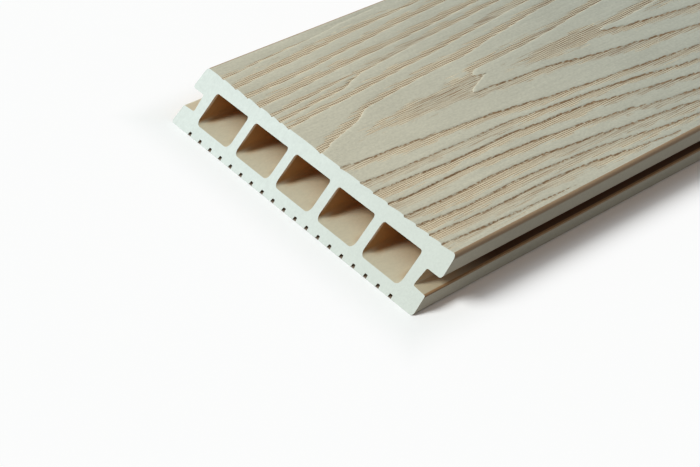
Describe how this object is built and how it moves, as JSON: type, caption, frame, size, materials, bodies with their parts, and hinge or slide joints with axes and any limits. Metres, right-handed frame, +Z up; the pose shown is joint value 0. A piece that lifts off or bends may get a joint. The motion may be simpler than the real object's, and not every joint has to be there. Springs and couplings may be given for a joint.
{
  "type": "decking board",
  "caption": "Hollow composite decking board with an embossed grain face, a grooved underside, clip grooves along both sides and one slanted end.",
  "frame": {"origin": "middle of the underside, at the centre of the board's box, on the surface it lies on", "axes": "+Y along the board from the slanted end to the square end, +X across its width, +Z up through the grain face"},
  "size_m": [0.1598, 2.2, 0.02],
  "materials": {
    "composite": "embossed and brushed, matte"
  },
  "bodies": {
    "root": {"board": "composite"}
  },
  "joints": []
}
